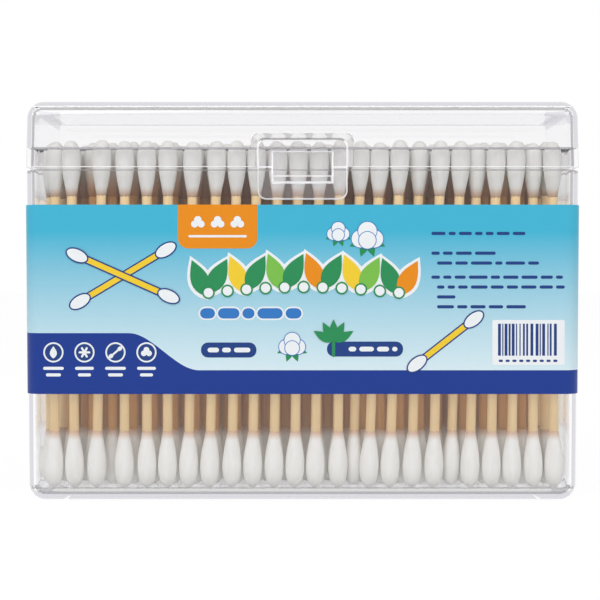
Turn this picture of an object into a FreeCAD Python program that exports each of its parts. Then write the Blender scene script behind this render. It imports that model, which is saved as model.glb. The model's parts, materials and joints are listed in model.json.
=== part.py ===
import FreeCAD, Part
import math
import os
import Sketcher

# A clear hinged box of cotton swabs. Millimetres, +Z up, origin at the centre of the base,
# front towards -Y. The lid is modelled shut.

doc = FreeCAD.newDocument("cotton_swab_box")
sheet = doc.addObject("Spreadsheet::Sheet", "Sizes")

DRIVING_SIZES = {
    # swabs, which the box is made to fit
    "swab_length": 74.4,
    "stick_diameter": 2.1,
    "tip_diameter": 4.2,
    "tip_length": 12.0,
    "tip_blunt": 2.4,  # a tip's end to its widest ring
    "swabs_per_row": 25,
    "rows": 8,
    "end_gap": 1.33,  # the end swabs to the box's ends
    "face_gap": 0.26,  # the outer rows to its front and back
    "swab_play": 0.1,  # how unevenly they stand
    "swab_shift": 0.3,  # the bundle stands a little to the right
    "rest_gap": 0.02,
    # box body
    "body_width": 118.6,  # outside, at the seam
    "body_depth": 38.6,
    "tips_above_seam": 6.5,
    "wall": 1.5,
    "floor_thickness": 2.8,  # at the rim; the recess inside it leaves a thinner floor
    "draft": 0.4,  # degrees, wider towards the seam
    "corner_radius": 3.6,  # upright corners, and the same round along the base and the lid's top
    "inner_bevel": 0.8,
    "base_recess": 1.2,
    "foot_width": 1.2,
    "foot_height": 0.4,
    "foot_inset": 6.6,  # from the outside faces
    "foot_round": 3.0,
    # collar inside the lid's skirt
    "collar_height": 4.6,
    "collar_draft": 2.5,  # degrees, narrower at the top, so that the skirt swings clear
    "skirt_gap": 0.12,
    # lid
    "headspace": 7.1,  # above the swabs
    "lid_top": 1.35,
    "lid_overhang": 0.15,
    "lid_draft": 1.1,
    "skirt_wall": 0.8,
    "seam_gap": 0.6,
    "seat_gap": 0.15,
    # latch tab and catch ridge
    "tab_width": 19.1,
    "tab_drop": 7.0,  # below the lid's lower edge
    "tab_rise": 5.9,  # above it
    "tab_plate": 1.2,
    "tab_corner": 1.9,
    "tab_flare": 1.6,  # how far the tab's root spreads on the lid's face
    "catch_width": 12.4,
    "catch_height": 1.3,
    "catch_drop": 1.3,  # ridge top below the seam
    "catch_proud": 0.33,
    "catch_clearance": 0.12,
    "relief_rise": 3.2,  # relief behind the tab, above the lid's lower edge
    "relief_depth": 0.45,
    "relief_gap": 0.2,
    # hinge
    "hinge_spread": 38.0,  # inner face of each ear from the middle of the box
    "pin_diameter": 1.8,
    "pin_gap": 0.05,
    "eye_wall": 1.0,
    "eye_clearance": 0.3,
    "hinge_web": 5.5,
    "arm_width": 3.0,
    "ear_width": 2.0,
    "hinge_side_gap": 0.15,
    # label band
    "label_drop": 7.4,  # its top edge below the seam
    "label_height": 40.3,
    "label_thickness": 0.2,
    "label_gap": 0.03,
}

for row_number, (alias, size) in enumerate(DRIVING_SIZES.items(), start=1):
    sheet.set(f"A{row_number}", alias)
    sheet.set(f"B{row_number}", str(size))
    sheet.setAlias(f"B{row_number}", alias)
doc.recompute()


def sized(text):
    """Names of sizes become references to the sheet."""
    words = []
    word = ""
    for letter in text + " ":
        if letter.isalnum() or letter in "_.":
            word += letter
            continue
        words.append("Sizes." + word if word in DRIVING_SIZES else word)
        words.append(letter)
        word = ""
    return "".join(words).strip()


def number(text):
    return float(sheet.evalExpression(sized(text)))


# Sizes that follow from the driving ones
FLOOR_TOP = "(foot_height + floor_thickness)"
SWAB_TOP = f"({FLOOR_TOP} + rest_gap + swab_length)"
SEAM = f"({SWAB_TOP} - tips_above_seam)"
COLLAR_TOP = f"({SEAM} + collar_height)"
TAPER = f"(2 * ({SEAM} - foot_height) * tan(draft))"
BASE_WIDTH, BASE_DEPTH = f"(body_width - {TAPER})", f"(body_depth - {TAPER})"
LID_LOW = f"({SEAM} + seam_gap)"
CEILING = f"({SWAB_TOP} + headspace)"
LID_HIGH = f"({CEILING} + lid_top)"
LID_WIDTH, LID_DEPTH = "(body_width + 2 * lid_overhang)", "(body_depth + 2 * lid_overhang)"
COLLAR_INSET = "(skirt_wall + skirt_gap)"
EYE_RADIUS = "(pin_diameter / 2 + eye_wall)"
AXIS_Y = f"({LID_DEPTH} / 2 + {EYE_RADIUS} + eye_clearance)"
AXIS_Z = f"({SEAM} + seam_gap / 2)"
TAB_BACK = "(body_depth / 2 + catch_proud + catch_clearance)"
TAB_FRONT = f"({TAB_BACK} + tab_plate)"


def bind(thing, **expressions):
    for name, text in expressions.items():
        thing.setExpression(name.replace("__", "."), sized(text))


def new_body(label):
    body = doc.addObject("PartDesign::Body", label)
    body.Label = label
    return body


def new_sketch(body, name, plane, lift="0"):
    """A sketch on one of the body's own origin planes, lifted along its normal."""
    sketch = body.newObject("Sketcher::SketchObject", name)
    origin_plane = next(f for f in body.Origin.OriginFeatures if f.Role == plane)
    sketch.AttachmentSupport = [(origin_plane, "")]
    sketch.MapMode = "FlatFace"
    bind(sketch, AttachmentOffset__Base__z=lift)
    return sketch


def constrain(sketch, kind, *where, size=None):
    if size is None:
        return sketch.addConstraint(Sketcher.Constraint(kind, *where))
    index = sketch.addConstraint(Sketcher.Constraint(kind, *where, number(size)))
    sketch.setExpression(f"Constraints[{index}]", sized(size))
    return index


def rounded_rectangle(sketch, width, depth, radius, rise=None):
    """Centred on the sketch's origin, or with its lower side at rise."""
    half_wide, half_deep, round_by = number(width) / 2, number(depth) / 2, number(radius)
    middle = number(rise) + half_deep if rise else 0.0
    along, up = half_wide - round_by, half_deep - round_by
    point = FreeCAD.Vector
    turns = [(1, -1, -90), (1, 1, 0), (-1, 1, 90), (-1, -1, 180)]
    sides = [
        (point(-along, middle - half_deep), point(along, middle - half_deep)),
        (point(half_wide, middle - up), point(half_wide, middle + up)),
        (point(along, middle + half_deep), point(-along, middle + half_deep)),
        (point(-half_wide, middle + up), point(-half_wide, middle - up)),
    ]
    for (start, end), (right, top, angle) in zip(sides, turns):
        sketch.addGeometry(Part.LineSegment(start, end))
        corner = Part.Circle(point(right * along, middle + top * up), point(0, 0, 1), round_by)
        span = math.radians(angle), math.radians(angle + 90)
        sketch.addGeometry(Part.ArcOfCircle(corner, *span))
    for side in range(8):
        constrain(sketch, "Tangent", side, 2, (side + 1) % 8, 1)
    for side in (0, 4):
        constrain(sketch, "Horizontal", side)
        constrain(sketch, "Vertical", side + 2)
    for arc in (3, 5, 7):
        constrain(sketch, "Equal", 1, arc)
    constrain(sketch, "Radius", 1, size=radius)
    constrain(sketch, "DistanceX", 6, 1, 2, 1, size=width)
    constrain(sketch, "DistanceY", 0, 1, 4, 1, size=depth)
    if rise:
        constrain(sketch, "DistanceX", -1, 1, 2, 1, size=f"{width} / 2")
        constrain(sketch, "DistanceY", -1, 1, 0, 1, size=rise)
    else:
        constrain(sketch, "Symmetric", 3, 3, 7, 3, -1, 1)


def outline(sketch, corners):
    """A closed outline of straight sides through the given corners."""
    places = [FreeCAD.Vector(number(x), number(y)) for x, y in corners]
    sides = [
        sketch.addGeometry(Part.LineSegment(start, end))
        for start, end in zip(places, places[1:] + places[:1])
    ]
    for side, after in zip(sides, sides[1:] + sides[:1]):
        constrain(sketch, "Coincident", side, 2, after, 1)
    for side, (x, y) in zip(sides, corners):
        constrain(sketch, "DistanceX", -1, 1, side, 1, size=x)
        constrain(sketch, "DistanceY", -1, 1, side, 1, size=y)


def circle(sketch, x, y, radius):
    centre = FreeCAD.Vector(number(x), number(y))
    index = sketch.addGeometry(Part.Circle(centre, FreeCAD.Vector(0, 0, 1), number(radius)))
    constrain(sketch, "Radius", index, size=radius)
    constrain(sketch, "DistanceX", -1, 1, index, 3, size=x)
    constrain(sketch, "DistanceY", -1, 1, index, 3, size=y)


def raise_from(sketch, name, length):
    pad = sketch.getParentGeoFeatureGroup().newObject("PartDesign::Pad", name)
    pad.Profile = sketch
    bind(pad, Length=length)
    doc.recompute()
    return pad


def cut_from(sketch, name, length, reverse=False, centred=False):
    """Cuts a pocket, and makes sure that it took something away."""
    body = sketch.getParentGeoFeatureGroup()
    before = body.Shape.Volume
    pocket = body.newObject("PartDesign::Pocket", name)
    pocket.Profile = sketch
    bind(pocket, Length=length)
    pocket.Reversed = reverse
    pocket.Midplane = centred
    doc.recompute()
    if not body.Shape.Volume < before:
        raise RuntimeError(f"{name} cuts nothing")
    return pocket


def rectangle(sketch, width, depth, x="0", y="0"):
    outline(sketch, [
        (f"{x} {across} {width} / 2", f"{y} {along} {depth} / 2")
        for across, along in (("-", "-"), ("+", "-"), ("+", "+"), ("-", "+"))
    ])


def drafted_block(body, kind, name, low, high, width, depth, lean="0"):
    """Adds or takes away a block about the Z axis, sized at its lower end, with leaning sides."""
    block = body.newObject(f"PartDesign::{kind}Wedge", name)
    plane = next(f for f in body.Origin.OriginFeatures if f.Role == "XZ_Plane")
    block.AttachmentSupport = [(plane, "")]
    block.MapMode = "FlatFace"
    more = f"({high} - {low}) * tan({lean})"
    bind(block, Ymin=low, Ymax=high)
    bind(block, Xmin=f"-{width} / 2", Xmax=f"{width} / 2")
    bind(block, Zmin=f"-{depth} / 2", Zmax=f"{depth} / 2")
    bind(block, X2min=f"-{width} / 2 - {more}", X2max=f"{width} / 2 + {more}")
    bind(block, Z2min=f"-{depth} / 2 - {more}", Z2max=f"{depth} / 2 + {more}")
    doc.recompute()
    return block


def dress_edges(body, kind, name, spans, **sizes):
    """A fillet or chamfer on every edge that runs between two heights, or lies flat at one."""
    wanted = [(number(low), number(high)) for low, high in spans]
    names = []
    for index, edge in enumerate(body.Shape.Edges, start=1):
        low, high = edge.BoundBox.ZMin, edge.BoundBox.ZMax
        if any(abs(low - a) < 1e-4 and abs(high - b) < 1e-4 for a, b in wanted):
            names.append(f"Edge{index}")
    last = body.Tip
    feature = body.newObject(f"PartDesign::{kind}", name)
    feature.Base = (last, names)
    bind(feature, **sizes)
    doc.recompute()
    return feature


def hinge_piece(body, name, side, thickness, towards, away):
    """An eight-sided knuckle with a web to the rear wall, up for the lid and down for the body."""
    piece = new_sketch(body, f"{name}_outline", "YZ_Plane", side)
    in_wall = "body_depth / 2 - skirt_wall / 2"
    root = f"{AXIS_Z} {towards} seam_gap"
    end = f"{AXIS_Z} {towards} hinge_web"
    flat = f"{EYE_RADIUS} * tan(22.5)"
    outline(piece, [
        (in_wall, root),
        (f"{AXIS_Y} - {EYE_RADIUS}", root),
        (f"{AXIS_Y} - {EYE_RADIUS}", f"{AXIS_Z} {away} {flat}"),
        (f"{AXIS_Y} - {flat}", f"{AXIS_Z} {away} {EYE_RADIUS}"),
        (f"{AXIS_Y} + {flat}", f"{AXIS_Z} {away} {EYE_RADIUS}"),
        (f"{AXIS_Y} + {EYE_RADIUS}", f"{AXIS_Z} {away} {flat}"),
        (f"{AXIS_Y} + {EYE_RADIUS}", f"{AXIS_Z} {towards} {flat}"),
        (f"{LID_DEPTH} / 2 + eye_clearance", end),
        (in_wall, end),
    ])
    raise_from(piece, name, thickness)


# Box body: a drafted block with a collar and a cavity, rounded along its corners and base
box = new_body("box_body")
drafted_block(box, "Additive", "shell", "foot_height", SEAM, BASE_WIDTH, BASE_DEPTH, "draft")
collar_width = f"({LID_WIDTH} - 2 * {COLLAR_INSET})"
collar_depth = f"({LID_DEPTH} - 2 * {COLLAR_INSET})"
collar_sizes = collar_width, collar_depth, "-collar_draft"
drafted_block(box, "Additive", "collar", SEAM, COLLAR_TOP, *collar_sizes)
narrower = f"2 * ({COLLAR_TOP} - {FLOOR_TOP}) * tan(draft)"
cavity_width = f"(body_width - 2 * wall - {narrower})"
cavity_depth = f"(body_depth - 2 * wall - {narrower})"
cavity_sizes = cavity_width, cavity_depth, "draft"
drafted_block(box, "Subtractive", "cavity", FLOOR_TOP, COLLAR_TOP, *cavity_sizes)

cavity_edges, collar_edges = [(FLOOR_TOP, COLLAR_TOP)], [(SEAM, COLLAR_TOP)]
shell_edges = [("foot_height", SEAM), ("foot_height", "foot_height")]
dress_edges(box, "Fillet", "cavity_round", cavity_edges, Radius="corner_radius - wall")
dress_edges(box, "Fillet", "collar_round", collar_edges, Radius=f"corner_radius - {COLLAR_INSET}")
dress_edges(box, "Fillet", "shell_round", shell_edges, Radius="corner_radius")
dress_edges(box, "Chamfer", "floor_bevel", [(FLOOR_TOP, FLOOR_TOP)], Size="inner_bevel")

foot = new_sketch(box, "foot_outline", "XY_Plane")
foot_sizes = "(body_width - 2 * foot_inset)", "(body_depth - 2 * foot_inset)"
rounded_rectangle(foot, *foot_sizes, "foot_round")
rectangle(foot, *(f"({size} - 2 * foot_width)" for size in foot_sizes))
raise_from(foot, "foot_rim", "foot_height + floor_thickness / 2")
under = new_sketch(box, "recess_outline", "XY_Plane")
rectangle(under, *(f"({size} - 2 * foot_width)" for size in foot_sizes))
cut_from(under, "base_recess_cut", "foot_height + base_recess", reverse=True)

catch = new_sketch(box, "catch_outline", "YZ_Plane", "-catch_width / 2")
catch_face, catch_root = "-(body_depth / 2 + catch_proud)", "-(body_depth - wall) / 2"
catch_top = f"({SEAM} - catch_drop)"
outline(catch, [
    (catch_root, f"{catch_top} - catch_height"),
    (catch_face, f"{catch_top} - catch_height"),
    (catch_face, f"{catch_top} - catch_proud"),
    (catch_root, f"{catch_top} + catch_proud"),
])
raise_from(catch, "catch_ridge", "catch_width")

hinge_piece(box, "left_ear", "-hinge_spread - ear_width", "ear_width", "-", "+")
hinge_piece(box, "right_ear", "hinge_spread", "ear_width", "-", "+")
bore = new_sketch(box, "bore_outline", "YZ_Plane")
circle(bore, AXIS_Y, AXIS_Z, "pin_diameter / 2 + pin_gap")
cut_from(bore, "bores", "body_width", centred=True)

# Lid: a drafted block, hollowed, with a thinned skirt, rounded along its corners and top
lid = new_body("lid")
cover_sizes = LID_WIDTH, LID_DEPTH, "-lid_draft"
drafted_block(lid, "Additive", "cover", LID_LOW, LID_HIGH, *cover_sizes)
hollow_sizes = f"({LID_WIDTH} - 2 * wall)", f"({LID_DEPTH} - 2 * wall)", "-lid_draft"
drafted_block(lid, "Subtractive", "hollow", LID_LOW, CEILING, *hollow_sizes)
dress_edges(lid, "Fillet", "hollow_round", [(LID_LOW, CEILING)], Radius="corner_radius - wall")
dress_edges(lid, "Chamfer", "ceiling_bevel", [(CEILING, CEILING)], Size="inner_bevel")

rebate_sizes = f"({LID_WIDTH} - 2 * skirt_wall)", f"({LID_DEPTH} - 2 * skirt_wall)"
rebate_top = f"({LID_LOW} + collar_height - seam_gap + seat_gap)"
drafted_block(lid, "Subtractive", "rebate", LID_LOW, rebate_top, *rebate_sizes)
rebate_edges = [(LID_LOW, rebate_top)]
cover_edges = [(LID_LOW, LID_HIGH), (LID_HIGH, LID_HIGH)]
dress_edges(lid, "Fillet", "rebate_round", rebate_edges, Radius="corner_radius - skirt_wall")
dress_edges(lid, "Fillet", "cover_round", cover_edges, Radius="corner_radius")

# Latch tab: a root that spreads on the lid's face, and a plate that hangs over the body
root = new_sketch(lid, "tab_root_outline", "XZ_Plane", f"{LID_DEPTH} / 2 - skirt_wall / 2")
face = new_sketch(lid, "tab_face_outline", "XZ_Plane", TAB_FRONT)
for sketch, spread in ((root, "tab_flare"), (face, "0")):
    half = f"(tab_width / 2 + {spread})"
    top = f"({LID_LOW} + tab_rise + {spread})"
    cut = f"(tab_corner / 2 + {spread})"
    outline(sketch, [
        (f"-{half}", LID_LOW),
        (half, LID_LOW),
        (half, f"{top} - {cut}"),
        (f"{half} - {cut}", top),
        (f"-{half} + {cut}", top),
        (f"-{half}", f"{top} - {cut}"),
    ])
flare = lid.newObject("PartDesign::AdditiveLoft", "tab_root")
flare.Profile = root
flare.Sections = [face]
flare.Ruled = True
plate = new_sketch(lid, "tab_plate_outline", "XZ_Plane", TAB_BACK)
tab_low = f"{LID_LOW} - tab_drop"
rounded_rectangle(plate, "tab_width", "(tab_drop + 2 * tab_corner)", "tab_corner", tab_low)
raise_from(plate, "tab_plate", "tab_plate")

# Relief behind the tab for the catch ridge
relief_start = f"({LID_DEPTH} / 2 - {COLLAR_INSET})"
relief = new_sketch(lid, "relief_outline", "XZ_Plane", relief_start)
relief_low = f"({SEAM} - catch_drop - catch_height - relief_gap)"
relief_high = f"({LID_LOW} + relief_rise)"
relief_height = f"({relief_high} - {relief_low})"
relief_middle = f"({relief_high} + {relief_low}) / 2"
rectangle(relief, "(catch_width + 2 * relief_gap)", relief_height, y=relief_middle)
doc.recompute()
cut_from(relief, "relief", f"{TAB_BACK} + relief_depth - {relief_start}", reverse=True)

# Hinge arms, each with a stub pin that points outwards into an ear
hinge_piece(lid, "left_arm", "-hinge_spread + hinge_side_gap", "arm_width", "+", "-")
hinge_piece(lid, "right_arm", "hinge_spread - hinge_side_gap - arm_width", "arm_width", "+", "-")
for name, side in (
    ("left_pin", "-hinge_spread - ear_width"),
    ("right_pin", "hinge_spread - hinge_side_gap - arm_width / 2"),
):
    pin = new_sketch(lid, f"{name}_outline", "YZ_Plane", side)
    circle(pin, AXIS_Y, AXIS_Z, "pin_diameter / 2")
    raise_from(pin, name, "ear_width + hinge_side_gap + arm_width / 2")

# Label band: a thin sleeve that follows the body's draft
label = new_body("label_band")
label_top = f"({SEAM} - label_drop)"
label_low = f"({label_top} - label_height)"
narrower = "2 * (label_drop + label_height) * tan(draft)"
for kind, name, more in (
    ("Additive", "band", "2 * (label_gap + label_thickness)"),
    ("Subtractive", "sleeve", "2 * label_gap"),
):
    across, deep = (f"({size} - {narrower} + {more})" for size in ("body_width", "body_depth"))
    drafted_block(label, kind, name, label_low, label_top, across, deep, "draft")
label_edges = [(label_low, label_top)]
dress_edges(label, "Fillet", "label_round", label_edges, Radius="corner_radius + label_gap")


def faceted(levels):
    """A four-sided solid round the Z axis through rings given as height and radius.

    A ring's square has the area of a circle of its radius, and a ring of no radius is a point.
    """
    rings = []
    for height, radius in levels:
        half = radius * math.sqrt(math.pi) / 2
        square = ((-half, -half), (half, -half), (half, half), (-half, half))
        corners = [FreeCAD.Vector(x, y, height) for x, y in square]
        rings.append(corners if radius else corners[:1])
    faces = []
    for ring in (rings[0], rings[-1]):
        if len(ring) > 1:
            faces.append(Part.Face(Part.makePolygon(ring + ring[:1])))
    for low, high in zip(rings, rings[1:]):
        for step in range(4):
            after = (step + 1) % 4
            corners = [low[step % len(low)], low[after % len(low)]]
            corners += [high[after % len(high)], high[step % len(high)]]
            corners = [place for index, place in enumerate(corners) if place not in corners[:index]]
            faces.append(Part.Face(Part.makePolygon(corners + corners[:1])))
    return Part.makeSolid(Part.makeShell(faces))


# Swabs stand in rows from the front to the back. The outer ring shows through the box, so its
# sticks and tips are separate; each swab behind it is one solid.
size = {alias: number(alias) for alias in DRIVING_SIZES}
tip_radius, stick_radius = size["tip_diameter"] / 2, size["stick_diameter"] / 2
swab_low = number(f"{FLOOR_TOP} + rest_gap")
columns, rows = int(size["swabs_per_row"]), int(size["rows"])
across = number(f"{BASE_WIDTH} - 2 * wall - tip_diameter - 2 * end_gap")
deep = number(f"{BASE_DEPTH} - 2 * wall - tip_diameter - 2 * face_gap")
swab_pitch, row_pitch = across / (columns - 1), deep / (rows - 1)

tip_levels = [(0, 0), (size["tip_blunt"], tip_radius), (size["tip_length"], stick_radius)]
upper_levels = [(size["swab_length"] - height, radius) for height, radius in reversed(tip_levels)]
stick_levels = [(levels[0], stick_radius) for levels in (tip_levels[-1], upper_levels[0])]
lower_tip, upper_tip = faceted(tip_levels), faceted(upper_levels)
stick, whole_swab = faceted(stick_levels), faceted(tip_levels + upper_levels)


def standing(row, column):
    """Where a swab stands on the floor."""
    order = row * columns + column
    x = (column - (columns - 1) / 2) * swab_pitch + size["swab_shift"]
    y = (row - (rows - 1) / 2) * row_pitch
    x += size["swab_play"] * math.sin(2.4 * order)
    y += size["swab_play"] / 3 * math.sin(3.9 * order)
    return FreeCAD.Vector(x, y, swab_low)


def group(name, solid, places):
    feature = doc.addObject("Part::Feature", name)
    feature.Label = name
    feature.Shape = Part.makeCompound([solid.translated(place) for place in places])
    return feature


sides = {
    "front": [(0, column) for column in range(columns)],
    "back": [(rows - 1, column) for column in range(columns)],
    "left": [(row, 0) for row in range(1, rows - 1)],
    "right": [(row, columns - 1) for row in range(1, rows - 1)],
}
pieces = [box, lid, label]
for side, spots in sides.items():
    places = [standing(*spot) for spot in spots]
    pieces.append(group(f"{side}_sticks", stick, places))
    pieces.append(group(f"{side}_lower_tips", lower_tip, places))
    pieces.append(group(f"{side}_upper_tips", upper_tip, places))
for row in range(1, rows - 1):
    places = [standing(row, column) for column in range(1, columns - 1)]
    pieces.append(group(f"inner_swabs_row_{row}", whole_swab, places))

doc.recompute()
for feature in doc.Objects:
    if {"Invalid", "Error"} & set(feature.State):
        raise RuntimeError(f"{feature.Name} failed")
os.makedirs("parts", exist_ok=True)
for piece in pieces:
    if piece.Shape.isNull() or not piece.Shape.isValid():
        raise RuntimeError(f"{piece.Label} is not a valid shape")
for piece in pieces:
    piece.Shape.exportStep(f"parts/{piece.Label}.step")
    bounds = piece.Shape.BoundBox
    print(piece.Label, len(piece.Shape.Solids), round(piece.Shape.Volume, 1), bounds)
print("swabs", rows * columns, "rows", rows, "columns", columns)
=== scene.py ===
import json
import math
import random

import bpy
import bmesh
import numpy as np
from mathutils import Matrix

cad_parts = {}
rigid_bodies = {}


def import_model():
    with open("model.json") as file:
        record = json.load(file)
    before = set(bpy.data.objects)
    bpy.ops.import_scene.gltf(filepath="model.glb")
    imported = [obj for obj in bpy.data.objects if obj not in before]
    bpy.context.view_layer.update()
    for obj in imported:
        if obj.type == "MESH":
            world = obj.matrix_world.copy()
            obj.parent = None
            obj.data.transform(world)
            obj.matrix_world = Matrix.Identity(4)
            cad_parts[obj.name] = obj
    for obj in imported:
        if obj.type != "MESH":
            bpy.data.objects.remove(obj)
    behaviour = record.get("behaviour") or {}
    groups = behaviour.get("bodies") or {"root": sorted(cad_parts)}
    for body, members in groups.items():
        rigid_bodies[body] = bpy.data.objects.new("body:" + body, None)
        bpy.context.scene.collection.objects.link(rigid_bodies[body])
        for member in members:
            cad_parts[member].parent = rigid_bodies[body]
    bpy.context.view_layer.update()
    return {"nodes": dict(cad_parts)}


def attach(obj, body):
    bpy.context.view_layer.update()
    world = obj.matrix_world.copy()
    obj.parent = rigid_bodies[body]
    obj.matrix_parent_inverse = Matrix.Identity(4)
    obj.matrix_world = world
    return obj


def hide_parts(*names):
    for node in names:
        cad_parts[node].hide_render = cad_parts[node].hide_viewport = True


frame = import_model()
mm = 0.001


# selecting, joining and finishing

def deselectAll():
    bpy.ops.object.select_all(action="DESELECT")


def pick(*things):
    deselectAll()
    for thing in things:
        thing.select_set(True)
    bpy.context.view_layer.objects.active = things[0]


def settle(piece, body, slot, *nodes):
    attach(piece, body)
    if nodes:
        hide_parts(*nodes)


def joinAs(name, things):
    pick(*things)
    if len(things) > 1:
        bpy.ops.object.join()
    joined = bpy.context.view_layer.objects.active
    joined.name = joined.data.name = name
    bpy.ops.object.transform_apply(location=True, rotation=True, scale=True)
    return joined


# shared shader groups

def newGroup(name, inputs, outputs):
    group = bpy.data.node_groups.new(name, "ShaderNodeTree")
    for label, kind, value in inputs:
        socket = group.interface.new_socket(label, in_out="INPUT", socket_type=kind)
        socket.default_value = value
    for label, kind in outputs:
        group.interface.new_socket(label, in_out="OUTPUT", socket_type=kind)
    start, end = group.nodes.new("NodeGroupInput"), group.nodes.new("NodeGroupOutput")
    start.location, end.location = (-800, 0), (600, 0)
    return group, start, end


def softVariation():
    # slow drift of a colour between a darker and a lighter tone, with a fine mottle
    group, start, end = newGroup(
        "softVariation",
        [("Dark", "NodeSocketColor", (0.8, 0.8, 0.8, 1)), ("Light", "NodeSocketColor", (1, 1, 1, 1)),
         ("Scale", "NodeSocketFloat", 300.0), ("Stretch", "NodeSocketFloat", 1.0)],
        [("Color", "NodeSocketColor"), ("Mask", "NodeSocketFloat")],
    )
    nodes, links = group.nodes, group.links
    place = nodes.new("ShaderNodeTexCoord")
    squeeze = nodes.new("ShaderNodeCombineXYZ")
    stretched = nodes.new("ShaderNodeVectorMath")
    stretched.operation = "MULTIPLY"
    noise = nodes.new("ShaderNodeTexNoise")
    noise.inputs["Detail"].default_value = 3
    blend = nodes.new("ShaderNodeMix")
    blend.data_type = "RGBA"
    squeeze.inputs[0].default_value = squeeze.inputs[1].default_value = 1
    links.new(start.outputs["Stretch"], squeeze.inputs[2])
    links.new(place.outputs["Object"], stretched.inputs[0])
    links.new(squeeze.outputs[0], stretched.inputs[1])
    links.new(stretched.outputs[0], noise.inputs["Vector"])
    links.new(start.outputs["Scale"], noise.inputs["Scale"])
    links.new(noise.outputs["Fac"], blend.inputs["Factor"])
    links.new(start.outputs["Dark"], blend.inputs["A"])
    links.new(start.outputs["Light"], blend.inputs["B"])
    links.new(blend.outputs["Result"], end.inputs["Color"])
    links.new(noise.outputs["Fac"], end.inputs["Mask"])
    return group


variation = softVariation()


def newMaterial(name):
    material = bpy.data.materials.new(name)
    material.use_nodes = True
    nodes, links = material.node_tree.nodes, material.node_tree.links
    shader = nodes["Principled BSDF"]
    return material, nodes, links, shader


def addVariation(nodes, dark, light, scale, stretch):
    group = nodes.new("ShaderNodeGroup")
    group.node_tree = variation
    group.inputs["Dark"].default_value = (*dark, 1)
    group.inputs["Light"].default_value = (*light, 1)
    group.inputs["Scale"].default_value = scale
    group.inputs["Stretch"].default_value = stretch
    return group


def addMath(nodes, links, operation, *values):
    node = nodes.new("ShaderNodeMath")
    node.operation = operation
    for socket, value in zip(node.inputs, values):
        if isinstance(value, (int, float)):
            socket.default_value = value
        else:
            links.new(value, socket)
    return node.outputs[0]


def addBump(nodes, links, shader, height, strength, distance):
    bump = nodes.new("ShaderNodeBump")
    bump.inputs["Strength"].default_value = strength
    bump.inputs["Distance"].default_value = distance
    links.new(height, bump.inputs["Height"])
    links.new(bump.outputs["Normal"], shader.inputs["Normal"])


plastic = {
    "colour": (0.98, 0.978, 0.983), "ior": 1.5, "roughness": 0.0, "shadow": (0.96, 0.96, 0.965),
    # edge: colour of the painted glow where light stays caught in a wall; innerGlow: more painted light on a
    # coat seen from inside
    "edge": (0.7, 0.695, 0.735), "turns": 1, "veilRoughness": 0.25, "innerGlow": 2,
    # veilColour, edgeVeil and edgeGlow: the pale coat and glow of painted highlight on the softened edges;
    # the dark line coat below is painted shade
    "veilColour": (0.96, 0.96, 0.97), "edgeVeil": 0.65, "edgeGlow": 0.12,
    "lineVeil": 0.65, "lineColour": (0.3, 0.295, 0.31),
    # a faint pale coat of painted shade that dims what is seen through the latch
    "latchDimVeil": 0.06, "latchDimColour": (0.9, 0.87, 0.93),
    # painted shade on the floor's front edge
    "greyVeil": 0.4, "greyColour": (0.3, 0.29, 0.28),
    # painted light on the latch's root, and a pale glowing coat as painted highlight on the rims
    "paleVeil": 0.6, "brightVeil": 0.8, "brightGlow": 0.15,
}


def makePlastic(name, veil=0, veilColour=None, glowing=0):
    material, nodes, links, shader = newMaterial(name)
    shader.inputs["Base Color"].default_value = (*plastic["colour"], 1)
    shader.inputs["Transmission Weight"].default_value = 1
    shader.inputs["Roughness"].default_value = plastic["roughness"]
    shader.inputs["IOR"].default_value = plastic["ior"]
    path = nodes.new("ShaderNodeLightPath")
    either = addMath(nodes, links, "MAXIMUM", path.outputs["Is Shadow Ray"], path.outputs["Is Diffuse Ray"])
    through = nodes.new("ShaderNodeBsdfTransparent")
    through.inputs["Color"].default_value = (*plastic["shadow"], 1)
    mix = nodes.new("ShaderNodeMixShader")
    links.new(either, mix.inputs[0])
    links.new(shader.outputs[0], mix.inputs[1])
    links.new(through.outputs[0], mix.inputs[2])
    # light that stays caught inside a wall ends in a glow of the pale lavender edge colour, painted light in
    # place of what such a wall would let out
    caught = addMath(nodes, links, "GREATER_THAN", path.outputs["Glossy Depth"], plastic["turns"])
    glow = nodes.new("ShaderNodeEmission")
    glow.inputs["Color"].default_value = (*plastic["edge"], 1)
    last = nodes.new("ShaderNodeMixShader")
    links.new(caught, last.inputs[0])
    if veil:
        # a coat of colour, partly glowing, is mixed in, which paints the highlights and the dark lines of the
        # moulded edges
        pale = nodes.new("ShaderNodeBsdfPrincipled")
        pale.inputs["Base Color"].default_value = (*veilColour, 1)
        pale.inputs["Roughness"].default_value = plastic["veilRoughness"]
        pale.inputs["Emission Color"].default_value = (*veilColour, 1)
        # seen from within the plastic the coat glows more strongly, painted light that stands in for the
        # light of its far side
        behind = nodes.new("ShaderNodeNewGeometry")
        extra = glowing * plastic["innerGlow"]
        strength = addMath(nodes, links, "MULTIPLY_ADD", behind.outputs["Backfacing"], extra, glowing)
        links.new(strength, pale.inputs["Emission Strength"])
        veiled = nodes.new("ShaderNodeMixShader")
        veiled.inputs[0].default_value = veil
        links.new(mix.outputs[0], veiled.inputs[1])
        links.new(pale.outputs[0], veiled.inputs[2])
        mix = veiled
    links.new(mix.outputs[0], last.inputs[1])
    links.new(glow.outputs[0], last.inputs[2])
    links.new(last.outputs[0], nodes["Material Output"].inputs["Surface"])
    return material


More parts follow.
